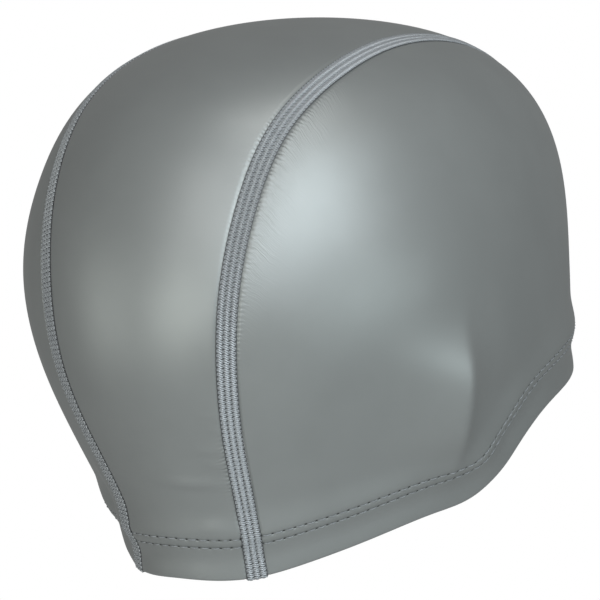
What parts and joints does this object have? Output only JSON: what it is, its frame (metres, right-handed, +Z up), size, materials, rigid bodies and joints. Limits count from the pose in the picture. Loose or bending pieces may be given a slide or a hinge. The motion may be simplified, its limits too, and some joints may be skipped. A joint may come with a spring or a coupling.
{
  "type": "swim cap",
  "caption": "Close-fitting swim cap of coated stretch fabric: a centre panel and two side panels joined by flat seams, with a turned hem, in the form it has when worn.",
  "frame": {"origin": "the point where the crown of the head touches the inside of the cap", "axes": "+Z up, the face towards -Y and the back of the head towards +Y, the wearer's left towards +X"},
  "size_m": [0.1511, 0.195, 0.1602],
  "materials": {
    "coated_cloth": "satin grey polyurethane coating on stretch knit",
    "seam_thread": "matt grey-blue thread over folded cloth edges"
  },
  "bodies": {
    "root": {"centre_panel": "coated_cloth", "side_panel_right": "coated_cloth", "side_panel_left": "coated_cloth", "seam_right": "seam_thread", "seam_left": "seam_thread"}
  },
  "joints": []
}
